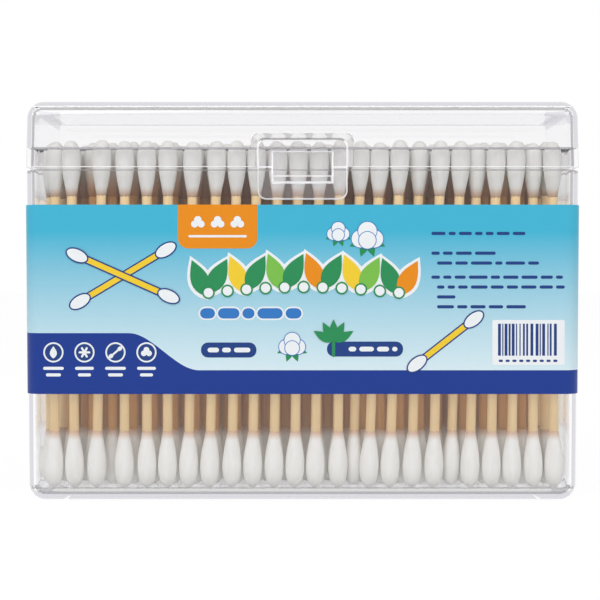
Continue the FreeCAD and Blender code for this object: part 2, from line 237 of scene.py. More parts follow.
cottonLook = {
    "dark": (0.82, 0.8, 0.76), "light": (0.94, 0.925, 0.89), "grain": 900, "stretch": 0.35,
    "upperEnd": 65.6, "lowerEnd": 15.2, "lowerFade": 2.2, "woodAndShadeTone": (0.6, 0.27, 0.08),
    "roughness": 0.95, "sheen": 0.25, "sheenRoughness": 0.5, "specular": 0.2, "bump": (0.35, 0.0004),
    # height where the upper tip is all cotton, strength of the wood's tone, and a painted glow; on the inner
    # rows the tone reaches far up the tip as painted shade
    "wound": (68.0, 0.7, 0), "inner": (73.5, 0.95, 0), "lower": (68.0, 0.7, 0.06),
}


def makeCotton(name, fadeTop, strength, glow):
    material, nodes, links, shader = newMaterial(name)
    fibre = addVariation(nodes, cottonLook["dark"], cottonLook["light"], cottonLook["grain"],
                         cottonLook["stretch"])
    # towards the stick the layer is thin and the wood's tone comes through; on the inner rows the tone is
    # carried far up the tip and stands as painted shade of the deep gaps
    place = nodes.new("ShaderNodeTexCoord")
    split = nodes.new("ShaderNodeSeparateXYZ")
    links.new(place.outputs["Object"], split.inputs[0])
    tintNearStick = []
    lowest = cottonLook["lowerEnd"] - cottonLook["lowerFade"]
    for bare, full in ((cottonLook["upperEnd"], fadeTop), (cottonLook["lowerEnd"], lowest)):
        near = nodes.new("ShaderNodeMapRange")
        near.interpolation_type = "SMOOTHSTEP"
        for socket, value in (("From Min", bare * mm), ("From Max", full * mm), ("To Min", strength),
                              ("To Max", 0)):
            near.inputs[socket].default_value = value
        links.new(split.outputs["Z"], near.inputs["Value"])
        tintNearStick.append(near.outputs["Result"])
    both = addMath(nodes, links, "MINIMUM", *tintNearStick)
    woodAndShadeTint = nodes.new("ShaderNodeMix")
    woodAndShadeTint.data_type = "RGBA"
    woodAndShadeTint.inputs["B"].default_value = (*cottonLook["woodAndShadeTone"], 1)
    links.new(both, woodAndShadeTint.inputs["Factor"])
    links.new(fibre.outputs["Color"], woodAndShadeTint.inputs["A"])
    links.new(woodAndShadeTint.outputs["Result"], shader.inputs["Base Color"])
    # a glow of the cotton's own colour, painted light where it is set
    links.new(woodAndShadeTint.outputs["Result"], shader.inputs["Emission Color"])
    shader.inputs["Emission Strength"].default_value = glow
    shader.inputs["Roughness"].default_value = cottonLook["roughness"]
    shader.inputs["Sheen Weight"].default_value = cottonLook["sheen"]
    shader.inputs["Sheen Roughness"].default_value = cottonLook["sheenRoughness"]
    shader.inputs["Specular IOR Level"].default_value = cottonLook["specular"]
    addBump(nodes, links, shader, fibre.outputs["Mask"], *cottonLook["bump"])
    return material


bambooLook = {
    "grain": 2200, "stretch": 0.015, "roughness": 0.6, "bump": (0.25, 0.0002),
    # darker and lighter tone, and a painted glow; the outer sticks are lighter with a glow as painted light,
    # the inner rows' sticks darker and more saturated as painted shade
    "front": ((0.86, 0.58, 0.27), (1.0, 0.76, 0.43), 0.08),
    "inner": ((0.6, 0.24, 0.05), (0.98, 0.55, 0.17), 0.0),
}


def makeBamboo(name, dark, light, glow):
    material, nodes, links, shader = newMaterial(name)
    grain = addVariation(nodes, dark, light, bambooLook["grain"], bambooLook["stretch"])
    links.new(grain.outputs["Color"], shader.inputs["Base Color"])
    # a glow of the stick's own colour, painted light
    links.new(grain.outputs["Color"], shader.inputs["Emission Color"])
    shader.inputs["Emission Strength"].default_value = glow
    shader.inputs["Roughness"].default_value = bambooLook["roughness"]
    addBump(nodes, links, shader, grain.outputs["Mask"], *bambooLook["bump"])
    return material


bamboo = makeBamboo("glowingBamboo", *bambooLook["front"])
shadedInnerBamboo = makeBamboo("shadedInnerBamboo", *bambooLook["inner"])
cotton = makeCotton("woundCotton", *cottonLook["wound"])
shadedInnerCotton = makeCotton("shadedInnerCotton", *cottonLook["inner"])
glowingLowerCotton = makeCotton("glowingLowerCotton", *cottonLook["lower"])
# the mouldings' finishes, in the order of their material slots: the clear plastic, then coats that paint
# highlights and shade on its edges and latch
finishes = {
    "clear": makePlastic("clearPolystyrene"),
    "edge": makePlastic("paintedEdgeHighlight", plastic["edgeVeil"], plastic["veilColour"], plastic["edgeGlow"]),
    "line": makePlastic("shadedEdge", plastic["lineVeil"], plastic["lineColour"]),
    "latchDim": makePlastic("paintedDimLatch", plastic["latchDimVeil"], plastic["latchDimColour"]),
    "grey": makePlastic("shadedFloorEdge", plastic["greyVeil"], plastic["greyColour"]),
    "pale": makePlastic("paintedLightRoot", plastic["paleVeil"], plastic["veilColour"]),
    "bright": makePlastic("paintedHighlightRim", plastic["brightVeil"], plastic["veilColour"], plastic["brightGlow"]),
}
print("materials made")


# clear mouldings: blocks shaped, joined and cut as the mould does it, then all edges softened

def block(low, high):
    # a plain block between two corners, in millimetres
    deselectAll()
    middle = [(a + b) / 2 * mm for a, b in zip(low, high)]
    size = [(b - a) * mm for a, b in zip(low, high)]
    bpy.ops.mesh.primitive_cube_add(size=1, location=middle, scale=size)
    bpy.ops.object.transform_apply(location=True, rotation=True, scale=True)
    return bpy.context.view_layer.objects.active


def selectInside(piece, kind, test):
    # in edit mode, selects the vertices, edges or faces whose corners all pass a test in millimetres
    bpy.ops.mesh.select_mode(type=kind)
    bpy.ops.mesh.select_all(action="DESELECT")
    mesh = bmesh.from_edit_mesh(piece.data)
    parts = {"VERT": mesh.verts, "EDGE": mesh.edges, "FACE": mesh.faces}[kind]
    for part in parts:
        corners = [part] if kind == "VERT" else part.verts
        part.select = test([corner.co / mm for corner in corners])
    mesh.select_flush_mode()
    bmesh.update_edit_mesh(piece.data)


nearness = {"level": 0.01, "lean": 1.2, "shortest": 1.1}  # millimetres


def levelAt(axis, height):
    return lambda corners: all(abs(corner[axis] - height) < nearness["level"] for corner in corners)


def alongAxis(axis, *sides):
    # an edge that runs along an axis, where every given place holds
    def test(corners):
        reach = [abs(a - b) for a, b in zip(*corners)]
        straight = all(reach[other] < nearness["lean"] for other in range(3) if other != axis)
        return straight and reach[axis] > nearness["shortest"] and all(side(corners) for side in sides)
    return test


def leanFactors(lean, wide, deep):
    return 1 - lean / wide, 1 - lean / deep, 1


def narrowEnd(piece, axis, height, factors):
    # resizes one end of a block about the origin
    pick(piece)
    bpy.ops.object.mode_set(mode="EDIT")
    selectInside(piece, "FACE", levelAt(axis, height))
    bpy.ops.transform.resize(value=factors, center_override=(0, 0, height * mm if axis == 2 else 0))
    bpy.ops.object.mode_set(mode="OBJECT")


def roundEdges(piece, test, radius, segments):
    pick(piece)
    bpy.ops.object.mode_set(mode="EDIT")
    selectInside(piece, "EDGE", test)
    bpy.ops.mesh.bevel(offset=radius * mm, segments=segments, affect="EDGES", clamp_overlap=False)
    bpy.ops.object.mode_set(mode="OBJECT")


def carve(piece, other, operation):
    change = piece.modifiers.new("carve", "BOOLEAN")
    change.operation = operation
    change.solver = "EXACT"
    change.object = other
    pick(piece)
    bpy.ops.object.modifier_apply(modifier=change.name)
    bpy.data.objects.remove(other)


hinge = {"merge": 0.002, "flatten": 0.8}  # millimetres and degrees


def hingeParts(node, beyond):
    # the hinge pieces behind the rear wall, copied from the frame and cut where they meet the wall
    pick(frame["nodes"][node])
    bpy.ops.object.duplicate()
    piece = bpy.context.view_layer.objects.active
    bpy.ops.object.parent_clear(type="CLEAR_KEEP_TRANSFORM")
    bpy.ops.object.mode_set(mode="EDIT")
    bpy.ops.mesh.select_all(action="SELECT")
    bpy.ops.mesh.remove_doubles(threshold=hinge["merge"] * mm)
    bpy.ops.mesh.select_all(action="SELECT")
    bpy.ops.mesh.bisect(plane_co=(0, beyond * mm, 0), plane_no=(0, 1, 0), use_fill=True, clear_inner=True)
    bpy.ops.mesh.select_all(action="SELECT")
    bpy.ops.mesh.dissolve_limited(angle_limit=math.radians(hinge["flatten"]))
    bpy.ops.object.mode_set(mode="OBJECT")
    return piece


# round and large in millimetres, angles in degrees
softening = {"round": 0.18, "segments": 2, "sharpest": 35, "smooth": 50, "flat": 0.985, "large": 20,
             "stray": 15}


def isWithin(face, low, high):
    return all(a < b < c for a, b, c in zip(low, face.center / mm, high))


def isLarge(face):
    return face.area > softening["large"] * mm * mm


def softenEdges(piece):
    bevel = piece.modifiers.new("softEdges", "BEVEL")
    bevel.width = softening["round"] * mm
    bevel.segments = softening["segments"]
    bevel.limit_method = "ANGLE"
    bevel.use_clamp_overlap = False
    bevel.angle_limit = math.radians(softening["sharpest"])
    # the new rounded faces take the painted edge highlight
    bevel.material = list(finishes).index("edge")
    bpy.ops.object.modifier_apply(modifier=bevel.name)


def chooseFinishes(piece, look):
    # lines of painted shade and painted highlight lie on the rounding by their place, contours of painted
    # shade on the strip of it that faces forward so far
    slots = list(finishes)
    for face in piece.data.polygons:
        if max(abs(part) for part in face.normal) < softening["flat"]:
            for low, high, finish in look["lines"]:
                if isWithin(face, low, high):
                    face.material_index = slots.index(finish)
            for low, high, least, most, finish in look["contours"]:
                if least < -face.normal.y < most and isWithin(face, low, high):
                    face.material_index = slots.index(finish)
        # the latch plate's large front faces take a faint pale coat, painted shade that dims what is seen
        # through it
        elif "latchDimFrom" in look and face.center.y < -look["latchDimFrom"] * mm and isLarge(face):
            face.material_index = slots.index("latchDim")


def shadeEvenly(piece):
    bpy.ops.object.shade_smooth_by_angle(angle=math.radians(softening["smooth"]))
    weigh = piece.modifiers.new("evenShade", "WEIGHTED_NORMAL")
    weigh.keep_sharp = True
    bpy.ops.object.modifier_apply(modifier=weigh.name)
    # a large flat wall refracts evenly only when its corners point as the wall does
    normals = [corner.vector.copy() for corner in piece.data.corner_normals]
    for face in piece.data.polygons:
        for corner in face.loop_indices:
            if isLarge(face) and normals[corner].angle(face.normal) > math.radians(softening["stray"]):
                normals[corner] = face.normal.copy()
    piece.data.normals_split_custom_set(normals)


def finishClear(name, parts, body, node, look):
    piece = joinAs(name, parts)
    piece.data.materials.clear()
    for material in finishes.values():
        piece.data.materials.append(material)
    for face in piece.data.polygons:
        face.material_index = 0
    softenEdges(piece)
    chooseFinishes(piece, look)
    shadeEvenly(piece)
    settle(piece, body, "clear_plastic", node)


shell = {
    "half": (59.3, 19.3), "foot": 0.4, "seam": 71.12, "lean": 0.494, "round": (3.6, 16), "split": 55,
    "step": 0.77, "collar": 4.6, "collarLean": 0.2,
    "cavity": (57.8, 17.8), "cavityLean": 0.506, "floor": 3.2, "mouth": 90,
    "cavityRound": (2.1, 5), "cavityCorner": (1.4, 4),
    "ring": (52.7, 12.7, 1.2), "ringInside": (51.5, 11.5, 1.6), "ringRound": (3.0, 6), "below": -1,
    "catch": (6.2, 19.63, 18.5, 68.52, 69.82), "hingeFrom": 19.33,
    # painted dark lines and painted highlights: low corner, high corner and finish
    "lines": [((-70, -30, 75.1), (70, 30, 77), "line"), ((-70, -19.4, 70.6), (70, 19.4, 71.3), "line"),
              ((-58, -18, 3.0), (58, -16.5, 3.6), "line"), ((-6.4, -19.8, 68.3), (6.4, -19.4, 70), "bright")],
    # painted shade: low corner, high corner, how far forward it faces at least and at most, and finish
    "contours": [((-59, -20, 0.3), (59, -15, 4), 0.84, 0.925, "line"),
                 ((-60, -20, 55), (-50, -15, 71), 0.84, 0.925, "line"),
                 ((50, -20, 55), (60, -15, 71), 0.84, 0.925, "line"),
                 ((-57, -20, 0.3), (57, -15, 4), 0.925, 0.985, "grey")],
}


def makeBox():
    wide, deep = shell["half"]
    low, high = shell["foot"], shell["seam"]
    box = block((-wide, -deep, low), (wide, deep, high))
    narrowEnd(box, 2, low, leanFactors(shell["lean"], wide, deep))
    upright = alongAxis(2)
    roundEdges(box, lambda ends: upright(ends) or levelAt(2, low)(ends), *shell["round"])
    bpy.ops.object.mode_set(mode="EDIT")
    selectInside(box, "FACE", levelAt(2, high))
    bpy.ops.mesh.inset(thickness=shell["step"] * mm)
    bpy.ops.mesh.extrude_region_move(TRANSFORM_OT_translate={"value": (0, 0, shell["collar"] * mm)})
    bpy.ops.transform.resize(value=leanFactors(shell["collarLean"], wide, deep))
    bpy.ops.object.mode_set(mode="OBJECT")

    wide, deep = shell["cavity"]
    cavity = block((-wide, -deep, shell["floor"]), (wide, deep, shell["mouth"]))
    narrowEnd(cavity, 2, shell["floor"], leanFactors(shell["cavityLean"], wide, deep))
    roundEdges(cavity, alongAxis(2), *shell["cavityCorner"])
    roundEdges(cavity, alongAxis(1, levelAt(2, shell["floor"])), *shell["cavityRound"])
    carve(box, cavity, "DIFFERENCE")

    wide, deep, tall = shell["ring"]
    ring = block((-wide, -deep, 0), (wide, deep, tall))
    roundEdges(ring, alongAxis(2), *shell["ringRound"])
    carve(box, ring, "UNION")
    wide, deep, tall = shell["ringInside"]
    carve(box, block((-wide, -deep, shell["below"]), (wide, deep, tall)), "DIFFERENCE")
    wide, front, back, low, high = shell["catch"]
    carve(box, block((-wide, -front, low), (wide, -back, high)), "UNION")
    # an edge round the walls, so that their rounding can change its finish, a painted shade line, there
    pick(box)
    bpy.ops.object.mode_set(mode="EDIT")
    bpy.ops.mesh.select_all(action="SELECT")
    bpy.ops.mesh.bisect(plane_co=(0, 0, shell["split"] * mm), plane_no=(0, 0, 1))
    bpy.ops.object.mode_set(mode="OBJECT")
    finishClear("clearBox", [box, hingeParts("box_body", shell["hingeFrom"])], "box", "box_body", shell)


cover = {
    "half": (59.45, 19.45), "low": 71.72, "high": 86.07, "lean": 0.2755, "round": (3.6, 16), "under": 3,
    "hollow": (57.95, 17.95), "ceiling": 84.72, "hollowLean": 0.25, "hollowRound": (2.1, 5),
    "hollowCorner": (1.0, 4), "rebate": (58.65, 18.65, 75.87), "rebateRound": (2.8, 6),
    "plate": (9.55, 19.75, 20.95, 64.72, 75.52), "plateRound": (1.9, 6), "plateEdge": (0.3, 2),
    "root": (11.15, 19.05, 79.22), "rootFront": (9.55, 77.62), "rootRound": (1.5, 5), "rootFoot": 2,
    "relief": (6.4, 20.2, 18, 68.32, 74.92), "gate": (2.5, 0.15, 32), "hingeFrom": 19.47, "latchDimFrom": 20.8,
    # as on the box
    "lines": [((-11.4, -20.9, 71.8), (11.4, -19.3, 77.65), "latchDim"),
              ((-11.4, -20.9, 77.65), (11.4, -19.3, 79.3), "pale"),
              ((-9.8, -21, 64.5), (9.8, -20.6, 77), "edge"), ((-9, -21, 77.1), (9, -20.6, 78), "line"),
              ((-60, -19.7, 71.6), (60, -19.2, 72.1), "bright"),
              ((-58.9, -19, 75.5), (58.9, -17.4, 76.2), "line")],
    "contours": [((-60, -20, 72.3), (60, -15, 86), 0.84, 0.925, "line")],
}


def makeLid():
    wide, deep = cover["half"]
    low, high = cover["low"], cover["high"]
    lid = block((-wide, -deep, low), (wide, deep, high))
    narrowEnd(lid, 2, high, leanFactors(cover["lean"], wide, deep))
    upright = alongAxis(2)
    roundEdges(lid, lambda ends: upright(ends) or levelAt(2, high)(ends), *cover["round"])

    wide, deep = cover["hollow"]
    hollow = block((-wide, -deep, low - cover["under"]), (wide, deep, cover["ceiling"]))
    narrowEnd(hollow, 2, cover["ceiling"], leanFactors(cover["hollowLean"], wide, deep))
    roundEdges(hollow, alongAxis(2), *cover["hollowCorner"])
    roundEdges(hollow, alongAxis(1, levelAt(2, cover["ceiling"])), *cover["hollowRound"])
    carve(lid, hollow, "DIFFERENCE")
    wide, deep, top = cover["rebate"]
    rebate = block((-wide, -deep, low - cover["under"]), (wide, deep, top))
    roundEdges(rebate, alongAxis(2), *cover["rebateRound"])
    carve(lid, rebate, "DIFFERENCE")

    wide, back, top = cover["root"]
    front = cover["plate"][2]
    root = block((-wide, -front, low), (wide, -back, top))
    pick(root)
    bpy.ops.object.mode_set(mode="EDIT")
    selectInside(root, "FACE", levelAt(1, -front))
    narrow, shorter = cover["rootFront"][0] / wide, (cover["rootFront"][1] - low) / (top - low)
    bpy.ops.transform.resize(value=(narrow, 1, shorter), center_override=(0, 0, low * mm))
    bpy.ops.object.mode_set(mode="OBJECT")

    def runsForward(ends):
        # the root's sloping edges, clear of its foot
        return all(end[2] > low + cover["rootFoot"] for end in ends) and abs(ends[0][1] - ends[1][1]) > 1

    roundEdges(root, runsForward, *cover["rootRound"])
    roundEdges(root, levelAt(1, -front), *cover["plateEdge"])
    carve(lid, root, "UNION")
    wide, back, front, bottom, top = cover["plate"]
    plate = block((-wide, -front, bottom), (wide, -back, top))
    roundEdges(plate, alongAxis(1), *cover["plateRound"])
    roundEdges(plate, levelAt(1, -front), *cover["plateEdge"])
    carve(lid, plate, "UNION")
    wide, front, back, bottom, top = cover["relief"]
    carve(lid, block((-wide, -front, bottom), (wide, -back, top)), "DIFFERENCE")

    radius, proud, sides = cover["gate"]
    deselectAll()
    bpy.ops.mesh.primitive_cylinder_add(vertices=sides, radius=radius * mm, depth=proud * 2 * mm,
                                        location=(0, 0, high * mm))
    bpy.ops.object.transform_apply(location=True, rotation=True, scale=True)
    carve(lid, bpy.context.view_layer.objects.active, "UNION")
    finishClear("clearLid", [lid, hingeParts("lid", cover["hingeFrom"])], "lid", "lid", cover)


makeBox()
makeLid()
print("clear mouldings made")


# label band: sky blue fading down, with a royal blue wave along its lower edge

label = {
    "top": 63.73, "sky": (0.05, 0.45, 0.65), "pale": (0.67, 0.815, 0.87), "royal": (0.006, 0.038, 0.27),
    "fadeTop": 58.0, "bandTop": 28.5, "waveTop": 36.4, "waveAt": -29.5, "waveWidth": 7.5,
    "roughness": 0.4, "specular": 0.3,
}


def makeLabel():
    material, nodes, links, shader = newMaterial("printedBand")
    place = nodes.new("ShaderNodeTexCoord")
    split = nodes.new("ShaderNodeSeparateXYZ")
    links.new(place.outputs["Object"], split.inputs[0])
    fade = nodes.new("ShaderNodeMapRange")
    fade.inputs["From Min"].default_value = label["bandTop"] * mm
    fade.inputs["From Max"].default_value = label["fadeTop"] * mm
    links.new(split.outputs["Z"], fade.inputs["Value"])
    sky = nodes.new("ShaderNodeValToRGB")
    sky.color_ramp.elements[0].color = (*label["pale"], 1)
    sky.color_ramp.elements[1].color = (*label["sky"], 1)
    links.new(fade.outputs["Result"], sky.inputs["Fac"])
    wave = nodes.new("ShaderNodeMapRange")
    wave.interpolation_type = "SMOOTHSTEP"
    wave.inputs["From Min"].default_value = (label["waveAt"] - label["waveWidth"]) * mm
    wave.inputs["From Max"].default_value = (label["waveAt"] + label["waveWidth"]) * mm
    wave.inputs["To Min"].default_value = label["waveTop"] * mm
    wave.inputs["To Max"].default_value = label["bandTop"] * mm
    links.new(split.outputs["X"], wave.inputs["Value"])
    below = addMath(nodes, links, "LESS_THAN", split.outputs["Z"], wave.outputs["Result"])
    blend = nodes.new("ShaderNodeMix")
    blend.data_type = "RGBA"
    blend.inputs["B"].default_value = (*label["royal"], 1)
    links.new(below, blend.inputs["Factor"])
    links.new(sky.outputs["Color"], blend.inputs["A"])
    links.new(blend.outputs["Result"], shader.inputs["Base Color"])
    shader.inputs["Roughness"].default_value = label["roughness"]
    shader.inputs["Specular IOR Level"].default_value = label["specular"]
    return material


for slot in frame["nodes"]["label_band"].material_slots:
    slot.material = makeLabel()


# print on the label's front: thin shapes of ink, a layer apart, joined by colour

inks = {
    "White": (0.86, 0.89, 0.91), "Orange": (0.83, 0.27, 0.004), "Yellow": (0.9, 0.62, 0.03),
    "Green": (0.02, 0.27, 0.09), "Leaf": (0.2, 0.52, 0.07), "Navy": (0.011, 0.05, 0.23),
    "Blue": (0.03, 0.19, 0.55),
}
inkSheet = {"front": 19.53, "lean": 0.4, "step": 0.03, "thickness": 0.02, "darker": 0.94, "grain": 160}
printed = {ink: [] for ink in inks}
fullTurn = 6.2832


def inkShape(ink, layer, outline):
    # outline runs anticlockwise as seen from the front, as x and height
    deselectAll()
    bpy.ops.mesh.primitive_circle_add(vertices=len(outline), radius=mm, fill_type="NGON")
    shape = bpy.context.view_layer.objects.active
    slope = math.tan(math.radians(inkSheet["lean"]))
    for vertex, (x, z) in zip(shape.data.vertices, outline):
        face = inkSheet["front"] - (shell["seam"] - z) * slope
        vertex.co = (x * mm, -(face + inkSheet["step"] * (layer + 1)) * mm, z * mm)
    printed[ink].append(shape)


def turned(points, x, z, angle):
    c, s = math.cos(math.radians(angle)), math.sin(math.radians(angle))
    return [(x + a * c - b * s, z + a * s + b * c) for a, b in points]


def disc(x, z, radius, count=20):
    turns = [fullTurn * k / count for k in range(count)]
    return [(x + radius * math.cos(turn), z + radius * math.sin(turn)) for turn in turns]


def oval(x, z, length, width, angle, count=20):
    turns = [fullTurn * k / count for k in range(count)]
    return turned([(math.cos(turn) * length / 2, math.sin(turn) * width / 2) for turn in turns], x, z, angle)


def leafShape(x, z, length, width, angle, count=9):
    # a pointed leaf whose broad part is nearer its stalk
    upper = []
    for k in range(count + 1):
        upper.append((length * (k / count - 0.5), width / 2 * math.sin(math.pi * (k / count) ** 0.8)))
    lower = [(a, -b) for a, b in upper[1:-1]]
    return turned(lower + upper[::-1], x, z, angle)


def bar(x, z, length, height, angle=0):
    # a bar with round ends, from its middle
    half, ends = length / 2 - height / 2, []
    for side in (1, -1):
        for k in range(7):
            turn = math.pi * (k / 6 - 0.5)
            ends.append((side * (half + height / 2 * math.cos(turn)), side * height / 2 * math.sin(turn)))
    return turned(ends, x, z, angle)


def panel(left, low, right, high, radius, corners=4):
    # a rectangle with its lower two or all four corners rounded
    points = []
    turns = ((left, low, 180), (right, low, 270), (right, high, 0), (left, high, 90))
    for k, (x, z, begin) in enumerate(turns):
        if k >= corners:
            points.append((x, z))
            continue
        middle = (x + (radius if k in (0, 3) else -radius), z + (radius if k < 2 else -radius))
        for step in range(6):
            turn = math.radians(begin + step * 18)
            points.append((middle[0] + radius * math.cos(turn), middle[1] + radius * math.sin(turn)))
    return points


# sizes of a drawn swab, and of a boll as shares of its size
drawing = {
    "stick": (1.75, 1.15), "stickRim": 1, "tipInset": 0.6, "tipRim": (5.2, 3.0), "tip": (4.6, 2.4),
    "leafAngles": (205, 250, 290, 335), "leaf": (0.75, 1.3, 0.6),
    "tufts": ((-0.5, -0.05, 0.62), (0.5, -0.05, 0.62), (0, 0.5, 0.66), (0, -0.15, 0.6)), "tuftRim": 0.16,
}


def drawnSwab(x, z, length, angle, layer):
    outer, inner = drawing["stick"]
    inkShape("Navy", layer, bar(x, z, length, outer, angle))
    inkShape("Yellow", layer + 1, bar(x, z, length - drawing["stickRim"], inner, angle))
    for side in (1, -1):
        end = turned([(side * (length / 2 - drawing["tipInset"]), 0)], x, z, angle)[0]
        inkShape("Navy", layer + 2, oval(*end, *drawing["tipRim"], angle))
        inkShape("White", layer + 3, oval(*end, *drawing["tip"], angle))


def drawnBoll(x, z, size, layer):
    # an open cotton boll: leaves below, round tufts above
    out, length, width = drawing["leaf"]
    for angle in drawing["leafAngles"]:
        middle = turned([(size * out, 0)], x, z, angle)[0]
        inkShape("Green", layer, leafShape(*middle, size * length, size * width, angle))
    for k, (a, b, share) in enumerate(drawing["tufts"]):
        inkShape("Blue", layer + 1 + k, disc(x + a * size, z + b * size, size * share + drawing["tuftRim"]))
        inkShape("White", layer + 1.5 + k, disc(x + a * size, z + b * size, size * share))


words = {"strokes": (1.4, 4.6), "space": 0.65, "least": 1}


def wordRow(ink, layer, x, z, length, height, chance):
    # a row of short strokes, as print too small to read
    at = x
    while at < x + length - words["least"]:
        stroke = min(chance.uniform(*words["strokes"]), x + length - at)
        inkShape(ink, layer, bar(at + stroke / 2, z, stroke, height))
        at += stroke + words["space"]


tab = {
    "edges": (-26.5, 54.4, -9.6), "round": 2.2, "middle": (-18.05, 59.6), "tufts": (-4.2, 0, 4.2),
    "tuft": ((-0.7, 0, 0.75), (0.7, 0, 0.75), (0, 0.9, 0.8)), "underline": (57.0, 12.4, 0.5),
}


def printTab():
    inkShape("Orange", 0, panel(*tab["edges"], label["top"], tab["round"], corners=2))
    x, z = tab["middle"]
    for aside in tab["tufts"]:
        for k, (a, b, radius) in enumerate(tab["tuft"]):
            inkShape("White", 1 + k, disc(x + aside + a, z + b, radius))
    inkShape("White", 1, bar(x, *tab["underline"]))


garland = {
    "inks": ["Green", "Green", "Yellow", "Green", "Leaf", "Green", "Orange", "Green", "Yellow", "Leaf",
             "Green", "Orange"],
    "pitch": 4.05, "start": (-22.0, 48.1), "rise": 1.5, "leans": (112, 62),
    "rim": (10.2, 5.3), "leaf": (8.3, 3.9),
    "berries": 11, "berryStart": (-20.0, 45.0), "berryRise": 1.2, "berryRadii": (1.35, 1.0),
}


def printGarland():
    for k, ink in enumerate(garland["inks"]):
        x, lean = garland["start"][0] + garland["pitch"] * k, garland["leans"][k % 2]
        z = garland["start"][1] + garland["rise"] * math.sin(math.pi * k / (len(garland["inks"]) - 1))
        inkShape("White", 0.1 * k, leafShape(x, z, *garland["rim"], lean))
        inkShape(ink, 2 + 0.1 * k, leafShape(x, z, *garland["leaf"], lean))
    for k in range(garland["berries"]):
        x = garland["berryStart"][0] + garland["pitch"] * k
        z = garland["berryStart"][1] + garland["berryRise"] * math.sin(math.pi * k / (garland["berries"] - 1))
        for layer, (ink, radius) in enumerate(zip(("Green", "White"), garland["berryRadii"])):
            inkShape(ink, 4 + layer, disc(x, z, radius))


plaques = {
    "headline": ((-21.8, 3.2), (-18, 4.6), (-12.8, 2.6), (-9.6, 5.4), (-3.6, 3.4)), "headlineHeight": 40.6,
    "letter": 2.2, "letterRim": 0.7, "round": 1.5,
    "left": (-21.6, 31.2, -9.8, 34.4), "leftWords": (-20.2, 32.8, 9.2, 1.0),
    "right": (5.2, 31.4, 21.4, 34.6), "rightWords": (9.8, 33.0, 10.4, 1.0), "boll": (-2.2, 33.6, 2.5),
    "plant": (6.6, 34.4), "plantAngles": (30, 62, 90, 118, 150), "plantReach": 2.6, "plantLeaf": (4.6, 1.9),
    "stalk": (6.6, 33.6, 4.6, 0.7),
}


def printPlaques(chance):
    rim, z = plaques["letterRim"], plaques["headlineHeight"]
    for x, length in plaques["headline"]:
        inkShape("White", 0, bar(x + length / 2, z, length + rim, plaques["letter"] + rim))
        inkShape("Blue", 1, bar(x + length / 2, z, length, plaques["letter"]))
    inkShape("Navy", 0, panel(*plaques["left"], plaques["round"]))
    wordRow("White", 1, *plaques["leftWords"], chance)
    drawnBoll(*plaques["boll"], 0)
    inkShape("Navy", 0, panel(*plaques["right"], plaques["round"]))
    wordRow("White", 1, *plaques["rightWords"], chance)
    for k, angle in enumerate(plaques["plantAngles"]):
        reach = turned([(plaques["plantReach"], 0)], *plaques["plant"], angle)[0]
        inkShape("Green", 2 + 0.8 * k, leafShape(*reach, *plaques["plantLeaf"], angle))
    inkShape("Green", 1, bar(*plaques["stalk"], 90))


motifs = {
    "bolls": ((13.8, 56.6, 3.0, 0), (7.6, 57.6, 2.1, 0)),
    "swabs": ((-38.2, 48.6, 22.5, 31, 0), (-38.2, 48.6, 22.5, -24, 4), (30.4, 34.6, 16.5, 38, 0)),
    "rows": ((27.4, 57.6, 20), (27.4, 53.4, 14), (28.6, 51.3, 22.5), (27.4, 48.3, 28), (28.6, 46.2, 27.2),
             (28.6, 44.1, 5), (28.6, 42.0, 20)),
    "rowHeight": 0.68,
}


def printMotifs(chance):
    for boll in motifs["bolls"]:
        drawnBoll(*boll)
    for drawn in motifs["swabs"]:
        drawnSwab(*drawn)
    for x, z, length in motifs["rows"]:
        wordRow("Navy", 0, x, z, length, motifs["rowHeight"], chance)


stripes = {
    "field": (40.4, 29.6, 55.8, 39.2), "round": 0.3, "run": (41.6, 54.2), "heights": (31.6, 38.4),
    "widths": (0.24, 0.24, 0.4, 0.6), "gaps": (0.26, 0.3, 0.5),
    "marks": 9, "markStart": (42.2, 30.5), "markPitch": 1.45, "mark": (0.9, 0.5),
}


def printStripes(chance):
    inkShape("White", 0, panel(*stripes["field"], stripes["round"]))
    low, high = stripes["heights"]
    at, end = stripes["run"]
    while at < end:
        stroke = chance.choice(stripes["widths"])
        inkShape("Navy", 1, [(at, low), (at + stroke, low), (at + stroke, high), (at, high)])
        at += stroke + chance.choice(stripes["gaps"])
    x, z = stripes["markStart"]
    for k in range(stripes["marks"]):
        inkShape("Navy", 1, bar(x + stripes["markPitch"] * k, z, *stripes["mark"]))


signs = {
    "places": (-53.0, -46.4, -39.8, -33.2), "height": 32.3, "radii": (2.15, 1.8), "sides": 28,
    "captions": ((28.9, 4.4), (27.5, 3.2)), "captionHeight": 0.65, "shorter": 0.4,
    "leaf": (2.6, 1.5, 90), "spokes": (0, 60, 120), "spoke": (2.5, 0.45),
    "swabAngle": 40, "swabStick": (2.6, 0.4), "swabEnd": (0.95, 0.8), "swabTip": (1.2, 0.85),
    "dots": ((-0.55, -0.2), (0.55, -0.2), (0, 0.55)), "dotRadius": 0.62, "dotSides": 14,
}


